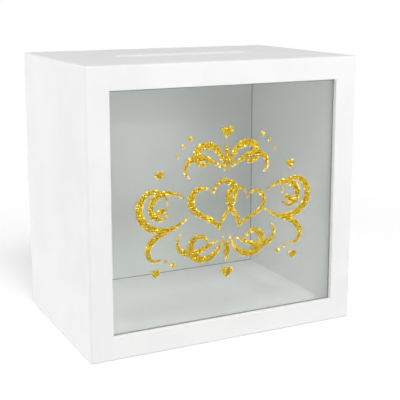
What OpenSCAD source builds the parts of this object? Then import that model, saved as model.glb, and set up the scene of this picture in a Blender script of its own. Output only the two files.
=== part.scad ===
// Card box with a glazed front, a slot in the lid and a lift-out back panel.
// The box stands on z = 0, faces -Y and is centred on the Z axis.

/* [Box] */
// Width of the box from side to side
box_w = 250; // [220:1:400]
// Height of the box
box_h = 240; // [220:1:400]
// Depth of the box from the frame's face to the rear edge
box_d = 165; // [120:1:300]
// Thickness of the top, bottom and side panels
panel_t = 12; // [12:0.5:18]
// Radius of the outer arrises
arris_r = 2; // [0.5:0.5:4]

/* [Card slot] */
// Length of the slot in the top panel
slot_l = 135; // [60:1:180]
// Width of the slot, front to back
slot_w = 22; // [8:1:40]
// Radius of the arris round the mouth of the slot
slot_arris_r = 0.4; // [0.2:0.1:2]

/* [Front frame] */
// Width of the frame's face
frame_w = 20; // [18:1:40]
// Thickness of the frame, front to back
frame_t = 10; // [9.5:0.5:14]
// Thickness of the lip in front of the glass
lip_t = 4; // [3:0.5:4.5]
// Radius of the arris round the window
window_arris_r = 0.8; // [0.2:0.1:1.5]

/* [Glass] */
// Thickness of the glass
glass_t = 2; // [1.5:0.5:2.5]
// How far the glass reaches behind the lip
glass_lap = 7; // [5:0.5:8]
// Gap between the edge of the glass and its rebate
glass_clear = 0.5; // [0.2:0.1:1]
// Thickness of the glazing tape between the lip and the glass
tape_t = 0.5; // [0.3:0.1:0.8]
// Width of the glazing tape
tape_w = 6; // [3:0.5:7]
// How far the glazing tape shows inside the window
tape_show = 1; // [0:0.1:2]
// Width of the glazing beads
bead_w = 5; // [3:0.5:6]
// Diameter of the pins that hold the beads
pin_d = 1.2; // [1:0.1:1.4]
// Length of the bead pins
pin_l = 11; // [8:1:12]
// Distance from a corner of the window to the nearest bead pin
pin_inset = 40; // [15:1:60]

/* [Back panel] */
// Thickness of the back panel
back_t = 3; // [2.5:0.5:6]
// How far the back panel lies below the rear edge
back_sink = 0.3; // [0.2:0.1:1]
// Gap round the edge of the back panel
back_clear = 0.4; // [0.3:0.1:1]
// Width of the rim outside the back panel's rebate
rim_w = 7.5; // [7.5:0.5:9]

/* [Turn buttons] */
// Length of a turn button
button_l = 30; // [20:1:40]
// Width of a turn button
button_w = 7; // [6:0.5:7.5]
// Thickness of a turn button
button_t = 1.5; // [1:0.1:3]
// Play on each face of a turn button and round its screw
button_play = 0.05; // [0.03:0.01:0.1]
// Diameter of the screw's shank
screw_d = 2.6; // [2:0.2:3]
// Length of the screw under its head
screw_l = 16; // [10:1:20]
// Diameter of the screw's head
screw_head_d = 5.6; // [4.6:0.1:7]
// Height of the screw's head
screw_head_h = 1.8; // [1.5:0.1:3]

/* [Joinery] */
// Diameter of the corner dowels
dowel_d = 6; // [4:0.5:7]
// Length of the corner dowels
dowel_l = 24; // [16:1:30]
// Depth of the dowels in the top and bottom panels
dowel_in = 8; // [5:0.5:9]
// Number of dowels in each corner joint
dowel_count = 2; // [2:1:4]

/* [Ornament] */
// Width of the gold ornament over its scrolls
ornament_w = 164; // [100:1:168]
// Thickness of the ornament's film
film_t = 0.2; // [0.1:0.05:0.5]
// Width of the heavy strokes at their middle
heavy_stroke = 6.2; // [3:0.1:7]
// Width of the light strokes at their middle
light_stroke = 5; // [2.5:0.1:6]
// Width of every stroke at its ends
hairline = 1.3; // [0.8:0.1:2]

/* [Hidden] */
$fn = 64;

// Clearance of a glued or driven fastener in its hole, on the radius
fastener_fit = 0.05;
// Extra depth of a blind hole past its fastener
hole_rest = 0.5;
// Overshoot of a cut past the face it opens
cut = 1;

// Depth of the screw head's cross recess, and the recess's size
recess_depth = 0.9;
recess_blade_w = 0.7;
recess_blade_l = 3;
// Length of the screw's point
screw_point_l = 3;

// Everything behind the rear edge: the buttons, their play and the screw heads
button_space = button_t + 2 * button_play;
hardware_d = button_space + screw_head_h;

// Planes across the depth, from the front to the back
front_y = -(box_d + hardware_d) / 2;
tape_y = front_y + lip_t;
glass_y = tape_y + tape_t;
bead_y = glass_y + glass_t;
panel_y = front_y + frame_t;
back_y = front_y + box_d;

bead_t = front_y + frame_t - bead_y;
rebate_w = glass_lap + glass_clear;
panel_d = box_d - frame_t;
side_h = box_h - 2 * panel_t;
window_w = box_w - 2 * frame_w;
window_h = box_h - 2 * frame_w;
back_rebate_d = back_t + back_sink;
shank_r = screw_d / 2;
mid_z = box_h / 2;

// ---- plain helpers ----

// Extrudes a drawing in x and z from the plane y = from towards the back
module along_y(from, length) {
  translate([0, from + length, 0])
    rotate([90, 0, 0])
      linear_extrude(length)
        children();
}

// What an eased corner loses: the square corner outside its arc
module corner_waste(radius) {
  difference() {
    square(radius);
    translate([radius, radius]) circle(radius);
  }
}

// Front view of the whole box, with its four corners eased
module box_outline() {
  difference() {
    translate([-box_w / 2, 0]) square([box_w, box_h]);
    for (side = [0, 1], end = [0, 1])
      mirror([side, 0])
        translate([0, end * box_h])
          mirror([0, end])
            translate([-box_w / 2, 0]) corner_waste(arris_r);
  }
}

// ---- front frame ----

// Section of the frame, from its outer edge inwards and from its face backwards
module frame_section() {
  difference() {
    square([frame_w, frame_t]);
    corner_waste(arris_r);
    translate([frame_w, 0]) mirror([1, 0]) corner_waste(window_arris_r);
    translate([frame_w - rebate_w, lip_t]) square([rebate_w + cut, frame_t]);
  }
}

// One side of a mitred rectangle: the side below, or the side on the left when upright
module mitred_side(w, h, face, upright) {
  if (upright)
    polygon([[-w / 2, 0], [-w / 2, h], [face - w / 2, h - face], [face - w / 2, face]]);
  else
    polygon([[-w / 2, 0], [w / 2, 0], [w / 2 - face, face], [face - w / 2, face]]);
}

// Bottom rail of the frame
module frame_rail() {
  difference() {
    intersection() {
      translate([0, front_y, 0])
        rotate([0, -90, 0])
          linear_extrude(box_w, center = true)
            frame_section();
      along_y(front_y - cut, frame_t + 2 * cut)
        intersection() {
          mitred_side(box_w, box_h, frame_w, false);
          box_outline();
        }
    }
    bead_pins_below(fastener_fit, hole_rest);
  }
}

// Left stile of the frame
module frame_stile() {
  difference() {
    intersection() {
      translate([-box_w / 2, front_y, 0])
        linear_extrude(box_h)
          frame_section();
      along_y(front_y - cut, frame_t + 2 * cut)
        intersection() {
          mitred_side(box_w, box_h, frame_w, true);
          box_outline();
        }
    }
    bead_pins_left(fastener_fit, hole_rest);
  }
}

module upside_down() {
  translate([0, 0, box_h]) mirror([0, 0, 1]) children();
}

module front_bottom_rail() { color("white") frame_rail(); }
module front_top_rail() { color("white") upside_down() frame_rail(); }
module front_left_stile() { color("white") frame_stile(); }
module front_right_stile() { color("white") mirror([1, 0, 0]) frame_stile(); }

// ---- glass and its beads ----

module glass_pane() {
  color([0.72, 0.78, 0.74, 0.4]) window_block(glass_y, glass_t, glass_lap);
}

// A block centred on the window, larger than the window by reach on every side
module window_block(from, length, reach) {
  translate([-window_w / 2 - reach, from, frame_w - reach])
    cube([window_w + 2 * reach, length, window_h + 2 * reach]);
}

// A ring of tape between the lip and the glass
module glazing_tape() {
  color("gray")
    difference() {
      window_block(tape_y, tape_t, tape_w - tape_show);
      window_block(tape_y - cut, tape_t + 2 * cut, -tape_show);
    }
}

// A strip in the rebate behind the glass, with mitred ends
module bead_strip(upright) {
  along_y(bead_y, bead_t)
    translate([0, frame_w - rebate_w])
      mitred_side(window_w + 2 * rebate_w, window_h + 2 * rebate_w, bead_w, upright);
}

module bead_below() {
  difference() {
    bead_strip(false);
    bead_pins_below(fastener_fit, hole_rest);
  }
}

module bead_on_left() {
  difference() {
    bead_strip(true);
    bead_pins_left(fastener_fit, hole_rest);
  }
}

module bottom_bead() { color("white") bead_below(); }
module top_bead() { color("white") upside_down() bead_below(); }
module left_bead() { color("white") bead_on_left(); }
module right_bead() { color("white") mirror([1, 0, 0]) bead_on_left(); }

// Pins driven down through the bottom bead, or the holes for them
module bead_pins_below(fit, rest) {
  for (side = [-1, 1])
    translate([side * (window_w / 2 - pin_inset), bead_y + bead_t / 2, bead_head_level() - pin_l - rest])
      cylinder(h = pin_l + rest + head_overshoot(fit), d = pin_d + 2 * fit);
}

// Pins driven outwards through the left bead, or the holes for them
module bead_pins_left(fit, rest) {
  for (z = [frame_w + pin_inset, box_h - frame_w - pin_inset])
    translate([bead_head_level() - box_w / 2 - pin_l - rest, bead_y + bead_t / 2, z])
      rotate([0, 90, 0])
        cylinder(h = pin_l + rest + head_overshoot(fit), d = pin_d + 2 * fit);
}

// Distance from the outside of the box to the inner face of a bead
function bead_head_level() = frame_w - rebate_w + bead_w;
// A hole opens through the bead's face, and a pin ends flush with it
function head_overshoot(fit) = fit > 0 ? cut : 0;

module bead_pins() {
  color("silver") {
    bead_pins_below(0, 0);
    upside_down() bead_pins_below(0, 0);
    bead_pins_left(0, 0);
    mirror([1, 0, 0]) bead_pins_left(0, 0);
  }
}

// ---- box ----

// The space that the back panel drops into
module back_rebate() {
  translate([rim_w - box_w / 2, back_y - back_rebate_d, rim_w])
    cube([box_w - 2 * rim_w, back_rebate_d + cut, box_h - 2 * rim_w]);
}

// Dowels between the top or bottom panel and the two sides, or the holes for them
module dowels_below(fit, rest) {
  for (side = [-1, 1], i = [0.5 : dowel_count])
    translate([
      side * (box_w - panel_t) / 2,
      panel_y + panel_d * i / dowel_count,
      panel_t - dowel_in - rest
    ])
      cylinder(h = dowel_l + 2 * rest, d = dowel_d + 2 * fit);
}

module corner_dowels() {
  color("burlywood") {
    dowels_below(0, 0);
    upside_down() dowels_below(0, 0);
  }
}

// A panel that lies flat and covers the ends of the side panels
module cover_panel() {
  difference() {
    along_y(panel_y, panel_d)
      intersection() {
        box_outline();
        translate([-box_w / 2, 0]) square([box_w, panel_t]);
      }
    back_rebate();
    dowels_below(fastener_fit, hole_rest);
    screw_at_bottom(fastener_fit, hole_rest);
  }
}

module side_panel() {
  difference() {
    translate([-box_w / 2, panel_y, panel_t]) cube([panel_t, panel_d, side_h]);
    back_rebate();
    dowels_below(fastener_fit, hole_rest);
    upside_down() dowels_below(fastener_fit, hole_rest);
    screw_at_left(fastener_fit, hole_rest);
  }
}

// The slot, with round ends, cut through the top panel
module card_slot() {
  straight_l = slot_l - slot_w;
  translate([0, front_y + box_d / 2, box_h]) {
    translate([0, 0, -panel_t - cut])
      linear_extrude(panel_t + 2 * cut) {
        translate([-straight_l / 2, -slot_w / 2]) square([straight_l, slot_w]);
        for (side = [-1, 1])
          translate([side * straight_l / 2, 0]) circle(d = slot_w);
      }
    for (side = [-1, 1]) {
      translate([side * straight_l / 2, 0, 0])
        rotate_extrude()
          slot_edge_waste();
      rotate([0, 0, side * 90])
        rotate([90, 0, 0])
          linear_extrude(straight_l, center = true)
            slot_edge_waste();
    }
  }
}

// Section of what the slot's eased edge loses, out from its middle line and down from the top
module slot_edge_waste() {
  translate([slot_w / 2, 0]) mirror([0, 1]) corner_waste(slot_arris_r);
}

module bottom_panel() { color("white") cover_panel(); }
module top_panel() {
  color("white")
    difference() {
      upside_down() cover_panel();
      card_slot();
    }
}
module left_panel() { color("white") side_panel(); }
module right_panel() { color("white") mirror([1, 0, 0]) side_panel(); }

module back_panel() {
  inset = rim_w + back_clear;
  color("white")
    translate([inset - box_w / 2, back_y - back_rebate_d, inset])
      cube([box_w - 2 * inset, back_t, box_h - 2 * inset]);
}

// ---- turn buttons and their screws ----

// A button turned open along +X from its pivot, lying behind the plane y = 0
module turn_button() {
  color("silver")
    difference() {
      along_y(button_play, button_t) {
        translate([0, -button_w / 2]) square([button_l - button_w, button_w]);
        circle(d = button_w);
        translate([button_l - button_w, 0]) circle(d = button_w);
      }
      along_y(button_play - cut, button_t + 2 * cut) circle(shank_r + button_play);
    }
}

// Places a child with its pivot on the rim, turned a quarter for each side of the box
module on_rim(x, z, quarter) {
  translate([x, back_y, z]) rotate([0, quarter * 90, 0]) children();
}

module on_top_rim() { on_rim(0, box_h - rim_w / 2, 0) children(); }
module on_right_rim() { on_rim((box_w - rim_w) / 2, mid_z, 1) children(); }
module on_bottom_rim() { on_rim(0, rim_w / 2, 2) children(); }
module on_left_rim() { on_rim((rim_w - box_w) / 2, mid_z, 3) children(); }

module turn_button_top() { on_top_rim() turn_button(); }
module turn_button_right() { on_right_rim() turn_button(); }
module turn_button_bottom() { on_bottom_rim() turn_button(); }
module turn_button_left() { on_left_rim() turn_button(); }

// Shank of a screw, or its pilot hole, from the rear edge inwards
module screw_shank(fit, rest) {
  embedded = screw_l - button_space;
  along_y(-embedded + screw_point_l - rest, embedded - screw_point_l + rest + (fit > 0 ? cut : button_space))
    circle(shank_r + fit);
  translate([0, -embedded - rest, 0])
    rotate([-90, 0, 0])
      cylinder(h = screw_point_l, r1 = 0.3 + fit, r2 = shank_r + fit);
}

// Domed head with a cross recess
module screw_head() {
  head_r = screw_head_d / 2;
  edge_h = screw_head_h / 3;
  dome_h = screw_head_h - edge_h;
  dome_r = (head_r * head_r + dome_h * dome_h) / (2 * dome_h);
  difference() {
    translate([0, button_space, 0])
      rotate([-90, 0, 0])
        intersection() {
          cylinder(h = screw_head_h, r = head_r);
          translate([0, 0, screw_head_h - dome_r]) sphere(dome_r);
        }
    for (turn = [0, 90])
      translate([0, hardware_d - recess_depth / 2 + cut / 2, 0])
        rotate([0, turn, 0])
          cube([recess_blade_l, recess_depth + cut, recess_blade_w], center = true);
  }
}

module screw() {
  color("silver")
    union() {
      screw_shank(0, 0);
      screw_head();
    }
}

module screw_at_bottom(fit, rest) { on_bottom_rim() screw_shank(fit, rest); }
module screw_at_left(fit, rest) { on_left_rim() screw_shank(fit, rest); }

module turn_button_screws() {
  on_top_rim() screw();
  on_right_rim() screw();
  on_bottom_rim() screw();
  on_left_rim() screw();
}

// ---- gold ornament on the glass ----
// It is drawn on a square grid from the window's centre, and ornament_w sets the grid's unit.

// Number of grid units across the ornament
grid_count = 164;
unit = ornament_w / grid_count;
swash_steps = 36;
heart_steps = 56;
leaf_steps = 20;

// Puts a flat drawing on the front of the glass, centred on the window
module on_glass() {
  translate([0, 0, mid_z]) along_y(glass_y - film_t, film_t) children();
}

module both_sides() {
  children();
  mirror([1, 0]) children();
}

// Heading of a stroke after the distance s, when its curl grows evenly from c0 to c1 along l
function heading_at(s, h0, c0, c1, l) = h0 + c0 * s + (c1 - c0) * s * s / (2 * l);

// Width of a swelling stroke at the share t of its length
function stroke_width(t, widest) = hairline + (widest - hairline) * pow(sin(180 * t), 1.5);

// A pen stroke from start: it sets off at heading h0 and bends by c0 and then c1 degrees a unit
module swash(start, h0, l, c0, c1, widest) {
  step = l / swash_steps;
  headings = [for (i = [0 : swash_steps]) heading_at(i * step, h0, c0, c1, l)];
  path = [
    for (i = 0, p = start; i <= swash_steps;
      p = p + step * [cos(headings[i]), sin(headings[i])], i = i + 1) p * unit
  ];
  half = [for (i = [0 : swash_steps]) stroke_width(i / swash_steps, widest) / 2];
  normal = [for (h = headings) [-sin(h), cos(h)]];
  left = [for (i = [0 : swash_steps]) path[i] + half[i] * normal[i]];
  right = [for (i = [swash_steps : -1 : 0]) path[i] - half[i] * normal[i]];
  polygon(concat(left, right));
}

// Outline of a heart 32 units wide
heart_curve = [
  for (i = [0 : heart_steps - 1])
    let (a = 360 * i / heart_steps)
      [16 * pow(sin(a), 3), 13 * cos(a) - 5 * cos(2 * a) - 2 * cos(3 * a) - cos(4 * a)]
];

module heart(centre, width, tilt) {
  translate(centre * unit) rotate(tilt) polygon(heart_curve * width / 32 * unit);
}

// A heart drawn as a line that is heavy on one side
module open_heart(centre, width, tilt) {
  difference() {
    heart(centre, width, tilt);
    heart(centre + [0.9, 0.4], width * 0.79, tilt);
  }
}

// A slim leaf from its stalk at start
module leaf(start, length, width, heading) {
  upper = [for (i = [0 : leaf_steps]) [i / leaf_steps, sin(180 * pow(i / leaf_steps, 0.7))]];
  lower = [for (i = [leaf_steps - 1 : -1 : 1]) [upper[i].x, -upper[i].y]];
  outline = [for (p = concat(upper, lower)) [p.x * length, p.y * width / 2]];
  translate(start * unit) rotate(heading) polygon(outline * unit);
}

module dot(centre, radius) {
  translate(centre * unit) circle(radius * unit);
}

module gold_scrolls_top() {
  color("gold") on_glass() {
    both_sides() {
      swash([2, 28], 80, 66, -0.4, -10.5, heavy_stroke);
      swash([4, 31], 26, 50, 1.4, -8.6, light_stroke);
    }
    leaf([0, 32], 20, 5, 90);
  }
}

module gold_scrolls_middle() {
  color("gold") on_glass()
    both_sides() {
      swash([37, -9], -36, 96, 1.1, 5.5, heavy_stroke);
      swash([40, 8], 34, 60, -1.2, -8.2, light_stroke);
      swash([47, -16], -24, 50, 1.8, -9.6, light_stroke);
      leaf([56, 1], 17, 5, -28);
    }
}

module gold_scrolls_bottom() {
  color("gold") on_glass() {
    both_sides() {
      swash([3, -29], -72, 74, 1.4, 8.6, heavy_stroke);
      swash([9, -32], -18, 52, -1.6, 8, light_stroke);
    }
    leaf([0, -32], 20, 5, -90);
  }
}

module gold_heart_pair() {
  color("gold") on_glass() {
    open_heart([-12, 1], 48, 12);
    open_heart([17, -3], 40, -16);
  }
}

module gold_hearts_and_dots() {
  color("gold") on_glass() {
    heart([0, 61], 11, 0);
    heart([0, -60], 11, 0);
    both_sides() {
      heart([62, 29], 8, 0);
      heart([66, -53], 8, 0);
      dot([34, 57], 1.9);
      dot([41, 51], 1.4);
      dot([46, 43.5], 1);
      dot([50, -48], 1.9);
      dot([57, -44], 1.4);
    }
  }
}

top_panel();
bottom_panel();
left_panel();
right_panel();
front_top_rail();
front_bottom_rail();
front_left_stile();
front_right_stile();
glass_pane();
glazing_tape();
top_bead();
bottom_bead();
left_bead();
right_bead();
bead_pins();
corner_dowels();
back_panel();
turn_button_top();
turn_button_bottom();
turn_button_left();
turn_button_right();
turn_button_screws();
gold_scrolls_top();
gold_scrolls_middle();
gold_scrolls_bottom();
gold_heart_pair();
gold_hearts_and_dots();
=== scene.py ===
# %% [markdown]
# # A white card box with a glass front
#
# Guests drop their cards through a slot in the lid of this box. It is made of
# fibreboard panels in white paint, with a mitred frame round a sheet of glass.
# Gold glitter film is stuck to the glass, and the back lifts out to empty it.
#
# The construction arrives as a finished frame of separate pieces. This lesson
# dresses it: every surface gets a finish, the gold film gets real flakes, and
# a plain studio is built round it.

# %% Load the frame
import math

import bpy
import numpy as np
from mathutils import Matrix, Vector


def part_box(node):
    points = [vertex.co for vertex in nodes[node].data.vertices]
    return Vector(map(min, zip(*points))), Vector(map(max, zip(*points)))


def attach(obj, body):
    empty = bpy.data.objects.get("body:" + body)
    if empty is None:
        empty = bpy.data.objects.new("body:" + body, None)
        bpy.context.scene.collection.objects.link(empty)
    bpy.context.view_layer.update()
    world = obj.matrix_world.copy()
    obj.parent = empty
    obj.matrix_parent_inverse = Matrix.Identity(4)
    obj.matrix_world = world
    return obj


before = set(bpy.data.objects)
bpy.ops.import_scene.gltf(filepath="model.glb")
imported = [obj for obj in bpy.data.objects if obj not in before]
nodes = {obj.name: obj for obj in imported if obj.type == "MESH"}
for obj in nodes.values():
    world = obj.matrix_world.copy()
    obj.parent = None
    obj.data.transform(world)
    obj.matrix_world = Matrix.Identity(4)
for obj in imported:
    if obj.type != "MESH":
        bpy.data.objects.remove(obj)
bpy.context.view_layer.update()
MM = 0.001

# %% [markdown]
# ## Shader maths as Python expressions
#
# Wiring Math nodes by hand hides a simple sum behind a dozen boxes. A small
# class that wraps an output socket lets a finish be written as it is thought:
# `0.3 + 0.1 * grain`. Each operator adds one Math node and returns its output,
# and the reflected forms make `1 - mask` work too.

# %% A socket that understands arithmetic
class Wire:
    """An output socket of a material. Arithmetic on it adds Math nodes."""

    def __init__(self, recipe, socket):
        self.recipe = recipe
        self.socket = socket

    def math(self, operation, *values):
        """The Math node's operation on values, of which this wire may be one."""
        return self.recipe.node("ShaderNodeMath", {"operation": operation}, dict(enumerate(values)))

    def __add__(self, other):
        return self.math("ADD", self, other)

    def __radd__(self, other):
        return self.math("ADD", other, self)

    def __sub__(self, other):
        return self.math("SUBTRACT", self, other)

    def __rsub__(self, other):
        return self.math("SUBTRACT", other, self)

    def __mul__(self, other):
        return self.math("MULTIPLY", self, other)

    def __rmul__(self, other):
        return self.math("MULTIPLY", other, self)

    def __pow__(self, other):
        return self.math("POWER", self, other)

    def under(self, limit):
        """1 where the value is below limit, and 0 elsewhere."""
        return self.math("LESS_THAN", self, limit)

    def over(self, limit):
        """1 where the value is above limit, and 0 elsewhere."""
        return self.math("GREATER_THAN", self, limit)

    def step(self, low, high):
        """0 below low, 1 above high, and a smooth rise between them."""
        return self.recipe.node(
            "ShaderNodeMapRange",
            {"interpolation_type": "SMOOTHSTEP"},
            {"Value": self, "From Min": low, "From Max": high},
        )


# %% [markdown]
# ## One method for every other node
#
# A finish also needs noise, bumps and colour mixes. Rather than a helper for
# each, one method takes the node's type, its settings, and what goes into its
# sockets. Settings come first, because they decide which sockets a node has.

# %% A material under construction
MIX_FIRST_COLOUR = 6  # the Mix node has a pair of inputs for each kind of data
MIX_SECOND_COLOUR = 7
MIX_COLOUR_RESULT = 2


class Recipe:
    """Builds one node tree, for a material or for the world."""

    def __init__(self, owner):
        owner.use_nodes = True
        self.owner = owner
        self.tree = owner.node_tree
        self.tree.nodes.clear()

    def node(self, kind, settings=None, sockets=None, out=0):
        """Adds a node and returns one of its outputs as a Wire."""
        made = self.tree.nodes.new(kind)
        for name, value in (settings or {}).items():
            setattr(made, name, value)
        for key, value in (sockets or {}).items():
            if isinstance(value, Wire):
                self.tree.links.new(value.socket, made.inputs[key])
            else:
                made.inputs[key].default_value = value
        return Wire(self, made.outputs[out]) if made.outputs else None

    def place(self, stretch=(1, 1, 1)):
        """Object coordinates in metres, multiplied by stretch."""
        spot = self.node("ShaderNodeTexCoord", out="Object")
        return self.node("ShaderNodeMapping", sockets={"Vector": spot, "Scale": stretch})

    def axes(self):
        """The three object coordinates as numbers, in metres."""
        spot = self.node("ShaderNodeTexCoord", out="Object")
        return [self.node("ShaderNodeSeparateXYZ", sockets={0: spot}, out=name) for name in "XYZ"]

    def noise(self, size, detail, stretch=(1, 1, 1)):
        """Cloudy noise from 0 to 1 whose features are about size metres across."""
        return self.node(
            "ShaderNodeTexNoise",
            sockets={"Vector": self.place(stretch), "Scale": 1 / size, "Detail": detail},
        )

    def blend(self, share, first, second):
        """The colour first where share is 0 and second where it is 1."""
        return self.node(
            "ShaderNodeMix",
            {"data_type": "RGBA"},
            {"Factor": share, MIX_FIRST_COLOUR: first, MIX_SECOND_COLOUR: second},
            out=MIX_COLOUR_RESULT,
        )

    def bump(self, height, depth):
        """Normals of a relief: height runs from 0 to 1 over depth metres."""
        return self.node(
            "ShaderNodeBump", sockets={"Height": height, "Distance": depth, "Strength": 1.0}
        )

    def surface(self, **sockets):
        """Ends a material with one Principled shader. Underscores stand for spaces."""
        shader = self.node(
            "ShaderNodeBsdfPrincipled",
            sockets={name.replace("_", " "): value for name, value in sockets.items()},
        )
        self.node("ShaderNodeOutputMaterial", sockets={"Surface": shader})
        return self.owner


def new_finish(name):
    """An empty recipe for a material of that name."""
    return Recipe(bpy.data.materials.new(name))


def dress(finish, *names):
    """Gives each named node of the frame a finish in place of its plain one."""
    for name in names:
        mesh = nodes[name].data
        mesh.materials.clear()
        mesh.materials.append(finish)
    print(f"{finish.name}: {', '.join(names)}")


# %% [markdown]
# ## The camera
#
# The box is seen from its left and a little above, with a long lens from under
# a metre away. The small vertical shift keeps the box in the middle while the
# camera leans down less, so that the upright edges stay closer to parallel.

# %% Camera
LENS_MM = 81.9
SENSOR_MM = 36
CAMERA_PLACE = (-0.3515, -0.7390, 0.2987)
CAMERA_TURN = math.radians(-26.33)
CAMERA_LEAN = math.radians(-10.76)
CAMERA_SHIFT = -0.10

camera = bpy.data.objects.new("camera", bpy.data.cameras.new("camera"))
camera.location = CAMERA_PLACE
camera.rotation_euler = (math.pi / 2 + CAMERA_LEAN, 0, CAMERA_TURN)
camera.data.sensor_width = SENSOR_MM
camera.data.lens = LENS_MM
camera.data.shift_y = CAMERA_SHIFT
bpy.context.scene.collection.objects.link(camera)
bpy.context.scene.camera = camera
print(f"camera: {LENS_MM} mm lens at {CAMERA_PLACE}")

# %% [markdown]
# ## Where the inside is
#
# The inside, the edge of the window and the walls of the card slot have the
# brighter paint, which is painted light that lifts their shade, so the shader has
# to know where those are. The frame gives the numbers. The boxes of the panels
# say how wide, high and deep the room inside is: a point within all the limits
# is inside. HAIR is a margin on them, so that a face that lies on a limit counts
# as inside too. The slot is what lies under the top face and well away from the
# edges of the top panel.

# %% The room inside
HAIR = 0.4 * MM
room_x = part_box("right_panel")[0].x
room_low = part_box("bottom_panel")[1].z
room_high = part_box("top_panel")[0].z
room_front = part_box("front_top_rail")[0].y
room_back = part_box("back_panel")[0].y
room_size = (2 * room_x, room_back - room_front, room_high - room_low)
print("room inside, in metres: {:.3f} wide, {:.3f} deep, {:.3f} high".format(*room_size))


def room_mask(recipe, shrink):
    """1 where a point lies in the room after its sides move in by shrink, and 0 elsewhere."""
    x, y, z = recipe.axes()
    middle = (room_low + room_high) / 2
    half = (room_high - room_low) / 2
    across = x.math("ABSOLUTE", x).under(room_x - shrink)
    upright = z.math("ABSOLUTE", z - middle).under(half - shrink)
    return across * upright * y.over(room_front + HAIR) * y.under(room_back + HAIR)


# %% The slot's walls
SLOT_MARGIN = 30 * MM
SLOT_TOP = 0.1 * MM
lid_low, lid_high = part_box("top_panel")


def slot_mask(recipe):
    """1 on the walls of the slot, under the top face, and 0 elsewhere."""
    x, y, z = recipe.axes()
    across = x.math("ABSOLUTE", x).under(lid_high.x - SLOT_MARGIN)
    middle = (lid_low.y + lid_high.y) / 2
    deep = y.math("ABSOLUTE", y - middle).under((lid_high.y - lid_low.y) / 2 - SLOT_MARGIN)
    return across * deep * z.over(room_high - HAIR) * z.under(lid_high.z - SLOT_TOP)


# %% [markdown]
# ## White paint on fibreboard
#
# Sprayed satin paint is never quite smooth. It dries with a faint orange peel,
# and its sheen wanders a little. A single white would look like plastic. Two
# noises make the relief: a soft one of about 2 mm and a fine one of about half
# a millimetre, together about a hundredth of a millimetre deep. The inside, the
# window's edge and the slot's walls get a brighter white: painted light that
# lifts the shade in these recesses.

# %% Satin paint
WHITE_PAINT = (0.875, 0.875, 0.872, 1)
SHADED_PAINT = (0.845, 0.847, 0.846, 1)
# The brighter white is painted light: it lifts the shade inside the box and in the slot.
PAINTED_LIGHT_WHITE = (0.935, 0.938, 0.934, 1)
DRIFT_SIZE = 60 * MM
PEEL_SIZE = 2.2 * MM
GRIT_SIZE = 0.5 * MM
PAINT_RELIEF = 0.012 * MM
PAINT_GLOSS = 0.3


def satin_paint(name, sheen):
    """White paint: colour drifts by 3%, and roughness wanders round sheen."""
    recipe = new_finish(name)
    drift = recipe.noise(DRIFT_SIZE, detail=3)
    peel = recipe.noise(PEEL_SIZE, detail=2)
    grit = recipe.noise(GRIT_SIZE, detail=1)
    relief = 0.75 * peel + 0.25 * grit
    outside = recipe.blend(drift.step(0.35, 0.7), WHITE_PAINT, SHADED_PAINT)
    inside = room_mask(recipe, -HAIR)
    # Brighter paint inside the box and on the slot's walls is painted light that lifts their shade.
    painted_light_mask = inside.math("MAXIMUM", inside, slot_mask(recipe))
    return recipe.surface(
        Base_Color=recipe.blend(painted_light_mask, outside, PAINTED_LIGHT_WHITE),
        Roughness=sheen + 0.1 * (drift - 0.5) + 0.05 * (peel - 0.5),
        Specular_IOR_Level=PAINT_GLOSS,
        Normal=recipe.bump(relief, PAINT_RELIEF),
    )


outer_paint = satin_paint("outer_paint", 0.55)
dress(
    outer_paint,
    "top_panel",
    "bottom_panel",
    "left_panel",
    "right_panel",
    "front_top_rail",
    "front_bottom_rail",
    "front_left_stile",
    "front_right_stile",
)

# %% [markdown]
# ## The beads and the back
#
# The glazing beads are thin strips behind the glass. They get the same paint,
# brushed on, so it dries flatter. The back panel is thin hardboard. Its paint
# is matt and lets the pressed fibres show as fine mottling: two noises, one
# drawn out sideways and one upwards, of which the higher one counts. Inside the
# box, a thin dark line of painted shade runs along the joint with the sides.

# %% Brushed paint
bead_paint = satin_paint("bead_paint", 0.65)
dress(bead_paint, "top_bead", "bottom_bead", "left_bead", "right_bead")

# %% Painted hardboard
BOARD_PAINT = (0.82, 0.845, 0.83, 1)
FIBRE_PAINT = (0.75, 0.775, 0.76, 1)
# Painted shade: the dark line where the back panel meets the sides inside the box.
PAINTED_JOINT_SHADE = (0.24, 0.23, 0.21, 1)
FIBRE_SIZE = 0.9 * MM
FIBRE_RELIEF = 0.015 * MM
CLOUD_SIZE = 45 * MM
JOINT_LINE = 0.7 * MM


def painted_hardboard():
    """Matt white over pressed fibres, with a dark line of painted shade at the joint inside."""
    recipe = new_finish("painted_hardboard")
    along = recipe.noise(FIBRE_SIZE, detail=4, stretch=(0.25, 1, 1))
    upwards = recipe.noise(FIBRE_SIZE, detail=4, stretch=(1, 1, 0.25))
    fibres = along.math("MAXIMUM", along, upwards)
    cloud = recipe.noise(CLOUD_SIZE, detail=3)
    paint = recipe.blend(0.6 * fibres.step(0.5, 0.8) + 0.3 * cloud, BOARD_PAINT, FIBRE_PAINT)
    y = recipe.axes()[1]
    # A thin line of painted shade along the joint with the sides, inside the box.
    joint_shade_mask = y.under(room_back + HAIR) * (1 - room_mask(recipe, JOINT_LINE))
    return recipe.surface(
        Base_Color=recipe.blend(joint_shade_mask, paint, PAINTED_JOINT_SHADE),
        Roughness=0.62 + 0.15 * fibres,
        Specular_IOR_Level=PAINT_GLOSS,
        Normal=recipe.bump(fibres, FIBRE_RELIEF),
    )


dress(painted_hardboard(), "back_panel")

# %% [markdown]
# ## The glass
#
# A sheet of window glass bends what is behind it too little to see, but it
# mirrors more of the room the flatter it is looked at. So each face lets light
# straight through with a faint grey-green cast, and a share of a mirror is
# mixed in. That share follows Schlick's rule: 4% head on, and all of it at a
# grazing angle, as the fifth power of how far the face is turned away.

# %% Glass
GLASS_CAST = (0.988, 0.997, 0.991, 1)
HEAD_ON_SHARE = 0.04
SMEAR_SIZE = 30 * MM


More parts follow.
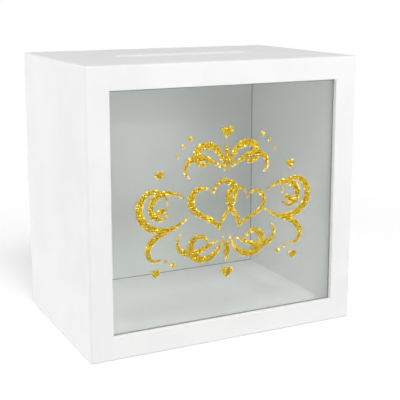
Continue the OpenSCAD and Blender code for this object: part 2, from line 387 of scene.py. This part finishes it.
def window_glass():
    """Straight-through glass with a mirror share of h + (1 - h) * facing ** 5, h being 4%."""
    recipe = new_finish("window_glass")
    facing = recipe.node("ShaderNodeLayerWeight", sockets={"Blend": 0.5}, out="Facing")
    smears = recipe.noise(SMEAR_SIZE, detail=5)
    through = recipe.node("ShaderNodeBsdfTransparent", sockets={"Color": GLASS_CAST})
    mirror = recipe.node(
        "ShaderNodeBsdfGlossy",
        sockets={"Color": (1, 1, 1, 1), "Roughness": 0.015 + 0.03 * smears.step(0.4, 0.75)},
    )
    share = HEAD_ON_SHARE + (1 - HEAD_ON_SHARE) * facing**5
    mixed = recipe.node("ShaderNodeMixShader", sockets={0: share, 1: through, 2: mirror})
    recipe.node("ShaderNodeOutputMaterial", sockets={"Surface": mixed})
    return recipe.owner


dress(window_glass(), "glass_pane")

# %% [markdown]
# ## Foam tape, dowels and steel
#
# A strip of grey foam tape cushions the glass behind the lip. The dowels are
# bare beech, with grain and pores drawn out along the tree. The turn buttons
# are stamped from zinc-plated strip with fine rolling lines in its sheen, the
# screws are nickel plated, and the pins are bright drawn wire.

# %% Foam tape
FOAM_DARK = (0.19, 0.20, 0.19, 1)
FOAM_PALE = (0.30, 0.31, 0.30, 1)
FOAM_CELL = 0.35 * MM
FOAM_RELIEF = 0.08 * MM


def foam_tape():
    """Grey foam: round cells from a Voronoi pattern make a matt, pitted edge."""
    recipe = new_finish("foam_tape")
    cells = recipe.node(
        "ShaderNodeTexVoronoi",
        sockets={"Vector": recipe.place(), "Scale": 1 / FOAM_CELL},
        out="Distance",
    )
    return recipe.surface(
        Base_Color=recipe.blend(cells.step(0.1, 0.6), FOAM_DARK, FOAM_PALE),
        Roughness=0.85 + 0.1 * cells,
        Normal=recipe.bump(cells, FOAM_RELIEF),
    )


dress(foam_tape(), "glazing_tape")


# %% Beech
BEECH_PALE = (0.62, 0.40, 0.22, 1)
BEECH_DARK = (0.45, 0.26, 0.13, 1)
GRAIN_SIZE = 1.2 * MM
PORE_SIZE = 0.3 * MM
PORE_RELIEF = 0.04 * MM


def beech():
    """Bare wood with upright grain: noise that is drawn out 12 times along Z, and pores 20 times."""
    recipe = new_finish("beech")
    grain = recipe.noise(GRAIN_SIZE, detail=4, stretch=(1, 1, 1 / 12))
    pores = recipe.noise(PORE_SIZE, detail=1, stretch=(1, 1, 1 / 20))
    return recipe.surface(
        Base_Color=recipe.blend(grain.step(0.3, 0.75), BEECH_PALE, BEECH_DARK),
        Roughness=0.55 + 0.2 * pores,
        Normal=recipe.bump(pores, PORE_RELIEF),
    )


dress(beech(), "corner_dowels")


# %% Plated steel
PLATING_CLOUD = 5 * MM
LINE_SIZE = 0.25 * MM
LINE_RELIEF = 0.004 * MM
DARK_SHARE = 0.8
ROLLED_ALONG_X = (0.05, 1, 1)
EVEN = (1, 1, 1)


def plated_steel(name, tint, sheen, grain_stretch):
    """Bright metal: fine lines in the sheen, under a plating that clouds to DARK_SHARE of tint."""
    recipe = new_finish(name)
    cloud = recipe.noise(PLATING_CLOUD, detail=3)
    lines = recipe.noise(LINE_SIZE, detail=2, stretch=grain_stretch)
    darker = tuple(DARK_SHARE * channel for channel in tint) + (1,)
    return recipe.surface(
        Base_Color=recipe.blend(cloud.step(0.35, 0.7), tint + (1,), darker),
        Metallic=1.0,
        Roughness=sheen + 0.15 * cloud + 0.12 * (lines - 0.5),
        Normal=recipe.bump(lines, LINE_RELIEF),
    )


zinc = plated_steel("zinc_plate", (0.52, 0.53, 0.53), 0.30, ROLLED_ALONG_X)
nickel = plated_steel("nickel_plate", (0.60, 0.58, 0.54), 0.18, EVEN)
bright_wire = plated_steel("bright_wire", (0.50, 0.50, 0.50), 0.24, EVEN)
dress(zinc, "turn_button_top", "turn_button_bottom", "turn_button_left", "turn_button_right")
dress(nickel, "turn_button_screws")
dress(bright_wire, "bead_pins")

# %% [markdown]
# ## Gold glitter film
#
# Glitter film is a clear sheet with small metal flakes set in gold resin. Two
# things make it sparkle: the flakes lie at slightly different angles, and each
# has its own shade. The film itself gets both from one Voronoi pattern, which
# gives every cell a random colour: one channel picks the shade, and the whole
# colour, centred on zero and halved, tips the normal.

# %% Glitter film
GOLD_NODES = [
    "gold_scrolls_top",
    "gold_scrolls_middle",
    "gold_scrolls_bottom",
    "gold_heart_pair",
    "gold_hearts_and_dots",
]
DEEP_GOLD = (0.12, 0.058, 0.001, 1)
PALE_GOLD = (0.66, 0.425, 0.006, 1)
FILM_CELL = 0.6 * MM
FILM_TILT = (0.5, 0.5, 0.5)


def glitter_film():
    """Gold cells of about half a millimetre, each with its own shade and its own tilt."""
    recipe = new_finish("glitter_film")
    cell = recipe.node(
        "ShaderNodeTexVoronoi",
        sockets={"Vector": recipe.place(), "Scale": 1 / FILM_CELL},
        out="Color",
    )
    shade = recipe.node("ShaderNodeSeparateColor", sockets={"Color": cell}, out="Red")
    centred = recipe.node(
        "ShaderNodeVectorMath", {"operation": "SUBTRACT"}, {0: cell, 1: (0.5, 0.5, 0.5)}
    )
    normal = recipe.node("ShaderNodeNewGeometry", out="Normal")
    tipped = recipe.node(
        "ShaderNodeVectorMath",
        {"operation": "MULTIPLY_ADD"},
        {0: centred, 1: FILM_TILT, 2: normal},
    )
    unit_normal = recipe.node("ShaderNodeVectorMath", {"operation": "NORMALIZE"}, {0: tipped})
    return recipe.surface(
        Base_Color=recipe.blend(shade, DEEP_GOLD, PALE_GOLD),
        Metallic=0.8,
        Specular_IOR_Level=0.1,
        Roughness=0.28 + 0.2 * shade,
        Normal=unit_normal,
    )


dress(glitter_film(), *GOLD_NODES)

# %% [markdown]
# ## Loose flakes on the film
#
# Under a lens the film's surface is rough: flakes lie on it and stick out past
# the cut edge of a stroke. Large bright ones are spread evenly, as the film's
# maker sprays them, and small ones lie anywhere between them. For the small
# ones a triangle of the film is picked with a chance in proportion to its area,
# and the point (1 - r) a + r (1 - s) b + r s c, with r the root of a random
# number, spreads evenly over it. For the large ones the film is cut into
# squares, every other row half a square further along, and of many such points
# the one nearest to a random spot in each square is kept. A flake is a flat
# hexagon. A shallow cone of six triangles closes it behind, for the resin that
# it sits in. Seven faces are few enough to have thousands of flakes.

# %% Where the flakes go
rng = np.random.default_rng(7)


def front_triangles(names):
    """Corners, as an array of shape (n, 3, 3), of the triangles that face -Y."""
    found = []
    for name in names:
        mesh = nodes[name].data
        mesh.calc_loop_triangles()
        points = np.empty(len(mesh.vertices) * 3)
        mesh.vertices.foreach_get("co", points)
        corners = np.empty(len(mesh.loop_triangles) * 3, dtype=np.int64)
        mesh.loop_triangles.foreach_get("vertices", corners)
        triangles = points.reshape(-1, 3)[corners.reshape(-1, 3)]
        normal = np.cross(triangles[:, 1] - triangles[:, 0], triangles[:, 2] - triangles[:, 0])
        facing = normal[:, 1] < -0.9 * np.linalg.norm(normal, axis=1)
        found.append(triangles[facing])
    return np.concatenate(found)


def scatter(triangles, pitch):
    """Random points, one for each square of side pitch over the triangles' area."""
    edges = np.cross(triangles[:, 1] - triangles[:, 0], triangles[:, 2] - triangles[:, 0])
    area = np.linalg.norm(edges, axis=1) / 2
    count = int(area.sum() / pitch**2)
    a, b, c = triangles[rng.choice(len(area), count, p=area / area.sum())].transpose(1, 0, 2)
    r = np.sqrt(rng.random((count, 1)))
    s = rng.random((count, 1))
    return (1 - r) * a + r * (1 - s) * b + r * s * c


def spread_evenly(points, pitch, wander):
    """Of points, one for each square of side pitch, within about wander of its middle."""
    row = np.floor(points[:, 2] / pitch)
    shift = 0.5 * (row % 2)
    column = np.floor(points[:, 0] / pitch - shift)
    _, square = np.unique(np.column_stack([row, column]), axis=0, return_inverse=True)
    square = square.ravel()
    goal = rng.uniform(-wander, wander, size=(square.max() + 1, 2))[square]
    x = (points[:, 0] / pitch - shift - column - 0.5) * pitch - goal[:, 0]
    z = (points[:, 2] / pitch - row - 0.5) * pitch - goal[:, 1]
    order = np.lexsort((np.hypot(x, z), square))
    _, first = np.unique(square[order], return_index=True)
    return points[order[first]]


# %% The flakes as one mesh
TRIAL_PITCH = 0.2 * MM
LARGE_PITCH = 2.2 * MM
LARGE_WANDER = 0.3 * MM
LARGE_SIZES = (0.68 * MM, 0.90 * MM)
LARGE_TONES = (0.7, 1.0)
SMALL_PITCH = 1.2 * MM
SMALL_SIZES = (0.20 * MM, 0.34 * MM)
SMALL_TONES = (0.0, 0.6)
FLAKE_TILT = 0.20
FLAKE_LIFT = 0.03 * MM
FLAKE_DEPTH = 0.05 * MM
SIDES = 6


def flake_corners(centres, sizes):
    """Points, as an array of shape (n, 7, 3), of one flake at each centre: a hexagon and a tip.

    Corner k lies at centre + radius (cos(60 k + turn) u + sin(60 k + turn) v), where u and v
    span the plane across the flake's own normal, which is -Y tipped by a random vector. The
    tip of the cone lies FLAKE_DEPTH behind the centre, against the normal.
    """
    count = len(centres)
    normal = np.array([0, -1.0, 0]) + FLAKE_TILT * rng.normal(size=(count, 3))
    normal /= np.linalg.norm(normal, axis=1, keepdims=True)
    u = np.cross(normal, [0, 0, 1.0])
    u /= np.linalg.norm(u, axis=1, keepdims=True)
    v = np.cross(normal, u)
    radius = rng.uniform(*sizes, size=(count, 1, 1))
    angle = np.arange(SIDES) * math.tau / SIDES + rng.uniform(0, math.pi, size=(count, 1))
    ring = np.cos(angle)[..., None] * u[:, None] + np.sin(angle)[..., None] * v[:, None]
    middle = centres[:, None] + np.array([0, -1.0, 0]) * FLAKE_LIFT
    tip = middle - FLAKE_DEPTH * normal[:, None]
    return np.concatenate([middle + radius * ring, tip], axis=1)


def flake_field(groups, tones):
    """One mesh of all flakes, with each one's tone as an attribute of its seven faces.

    A flake's front runs through corners 0 to 5. Its triangle k runs from corner k + 1 to
    corner k and to the tip, which is point 6, so that it faces backwards.
    """
    points = np.concatenate(groups)
    tones = np.concatenate(tones)
    k = np.arange(SIDES)
    cone = np.column_stack([(k + 1) % SIDES, k, np.full(SIDES, SIDES)])
    first = (SIDES + 1) * np.arange(len(points))
    fronts = first[:, None] + k
    triangles = (first[:, None, None] + cone).reshape(-1, 3)
    mesh = bpy.data.meshes.new("glitter_flakes")
    mesh.from_pydata(points.reshape(-1, 3), [], fronts.tolist() + triangles.tolist())
    tone = mesh.attributes.new("tone", "FLOAT", "FACE")
    values = np.concatenate([tones, np.repeat(tones, SIDES)])
    tone.data.foreach_set("value", values.astype(np.float32))
    return mesh


film = front_triangles(GOLD_NODES)
large = spread_evenly(scatter(film, TRIAL_PITCH), LARGE_PITCH, LARGE_WANDER)
small = scatter(film, SMALL_PITCH)
groups = [flake_corners(large, LARGE_SIZES), flake_corners(small, SMALL_SIZES)]
tones = [rng.uniform(*LARGE_TONES, len(large)), rng.uniform(*SMALL_TONES, len(small))]
flakes = bpy.data.objects.new("glitter_flakes", flake_field(groups, tones))
bpy.context.scene.collection.objects.link(flakes)
print(f"glitter_flakes: {len(large)} large and {len(small)} small flakes")


# %% Finish of the flakes
SHADY_FLAKE = (0.10, 0.045, 0.001, 1)
BRIGHT_FLAKE = (0.88, 0.68, 0.12, 1)


def flake_metal():
    """Polished gold whose shade comes from each flake's own tone."""
    recipe = new_finish("flake_metal")
    tone = recipe.node("ShaderNodeAttribute", {"attribute_name": "tone"}, out="Fac")
    return recipe.surface(
        Base_Color=recipe.blend(tone, SHADY_FLAKE, BRIGHT_FLAKE),
        Metallic=1.0,
        Roughness=0.18 + 0.2 * tone,
    )


flakes.data.materials.append(flake_metal())
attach(flakes, "box")

# %% [markdown]
# ## The studio
#
# The floor and the world are white where they are seen, also in the glass and
# in metal. The world lights the box evenly, and large soft lamps shape it. The
# key lamp is high in front: it lights the lid, the frame and the floor inside.
# A low lamp at the front right shines through the window onto the left half of
# the back panel and leaves the far right corner in shade. Two lamps on the left
# make the side face and the window's edge bright. Two more light the back and
# the right side. Satin paint would show a pale patch where it mirrors them, so
# those two are hidden from mirrors and sheens.

# %% World
world = bpy.data.worlds.new("studio")
bpy.context.scene.world = world
WORLD_LIGHT = 0.22


def light_world():
    """White at strength 1 where it is seen, and WORLD_LIGHT where it lights."""
    recipe = Recipe(world)
    paths = ["Is Camera Ray", "Is Glossy Ray", "Is Transmission Ray"]
    camera_ray, glossy_ray, transmission_ray = (
        recipe.node("ShaderNodeLightPath", out=name) for name in paths
    )
    seen = camera_ray.math("MAXIMUM", camera_ray, glossy_ray)
    seen = seen.math("MAXIMUM", seen, transmission_ray)
    strength = WORLD_LIGHT + (1 - WORLD_LIGHT) * seen
    glow = recipe.node("ShaderNodeBackground", sockets={"Color": (1, 1, 1, 1), "Strength": strength})
    recipe.node("ShaderNodeOutputWorld", sockets={"Surface": glow})


light_world()
print(f"world: lights at {WORLD_LIGHT} and is seen at 1")


# %% Soft lamps
LAMP_TARGET = np.array([0, 0, 0.12])


def soft_lamp(name, azimuth, height, distance, size, level, sheen=True):
    """A square lamp that faces the middle of the box.

    azimuth is in degrees from straight in front towards +X, and height is in degrees above the
    floor. level is what the lamp adds to a face turned to it, where an even white world adds 1:
    a lamp of P watts at distance d adds P / (pi d) ** 2. sheen tells if mirrors and sheens show it.
    """
    turn, rise = math.radians(azimuth), math.radians(height)
    data = bpy.data.lights.new(name, "AREA")
    data.shape = "SQUARE"
    data.size = size
    data.energy = level * (math.pi * distance) ** 2
    lamp = bpy.data.objects.new(name, data)
    across = math.cos(rise)
    away = np.array([math.sin(turn) * across, -math.cos(turn) * across, math.sin(rise)])
    lamp.location = LAMP_TARGET + distance * away
    lamp.rotation_euler = (math.pi / 2 - rise, 0, turn)
    lamp.visible_glossy = sheen
    bpy.context.scene.collection.objects.link(lamp)
    print(f"{name}: {data.energy:.2f} W from {distance} m")


soft_lamp("key_softbox", -10, 52, 2.0, 0.7, 0.53)
soft_lamp("right_softbox", 28, 10, 1.2, 0.4, 0.21)
soft_lamp("left_softbox", -116, 7, 1.8, 0.9, 0.50)
soft_lamp("edge_softbox", -60, 14, 1.6, 0.6, 0.08)
soft_lamp("back_fill", 180, 5, 1.6, 0.6, 0.28, sheen=False)
soft_lamp("right_fill", 100, 5, 1.6, 0.6, 0.28, sheen=False)


# %% Floor
FLOOR_HALF = 6.0
SHADOW_FADE = (0.25, 0.60)
FLOOR_LIFT = 0.30
PAPER = (0.86, 0.86, 0.86, 1)
WHITE = (1, 1, 1, 1)


def floor_paper():
    """White paper that the camera and mirrors see lifted by FLOOR_LIFT, and white further off."""
    recipe = new_finish("floor_paper")
    spot = recipe.node("ShaderNodeTexCoord", out="Object")
    distance = recipe.node("ShaderNodeVectorMath", {"operation": "LENGTH"}, {0: spot}, out="Value")
    camera_ray = recipe.node("ShaderNodeLightPath", out="Is Camera Ray")
    glossy_ray = recipe.node("ShaderNodeLightPath", out="Is Glossy Ray")
    seen = camera_ray.math("MAXIMUM", camera_ray, glossy_ray)
    paper = recipe.node("ShaderNodeBsdfDiffuse", sockets={"Color": PAPER})
    lift = recipe.node("ShaderNodeEmission", sockets={"Color": WHITE, "Strength": FLOOR_LIFT * seen})
    white = recipe.node("ShaderNodeEmission", sockets={"Color": WHITE, "Strength": 1.0})
    near = recipe.node("ShaderNodeAddShader", sockets={0: paper, 1: lift})
    far_off = seen * distance.step(*SHADOW_FADE)
    mixed = recipe.node("ShaderNodeMixShader", sockets={0: far_off, 1: near, 2: white})
    recipe.node("ShaderNodeOutputMaterial", sockets={"Surface": mixed})
    return recipe.owner


floor_mesh = bpy.data.meshes.new("floor")
corners = FLOOR_HALF * np.array([[-1, -1, 0], [1, -1, 0], [1, 1, 0], [-1, 1, 0]])
floor_mesh.from_pydata(corners, [], [(0, 1, 2, 3)])
floor_mesh.materials.append(floor_paper())
floor = bpy.data.objects.new("floor", floor_mesh)
bpy.context.scene.collection.objects.link(floor)
print(f"floor: {2 * FLOOR_HALF} m square, white beyond {SHADOW_FADE[1]} m")

# %% [markdown]
# ## Plain colour
#
# The Standard view shows each colour as it is written.

# %% Finish
bpy.context.scene.view_settings.view_transform = "Standard"
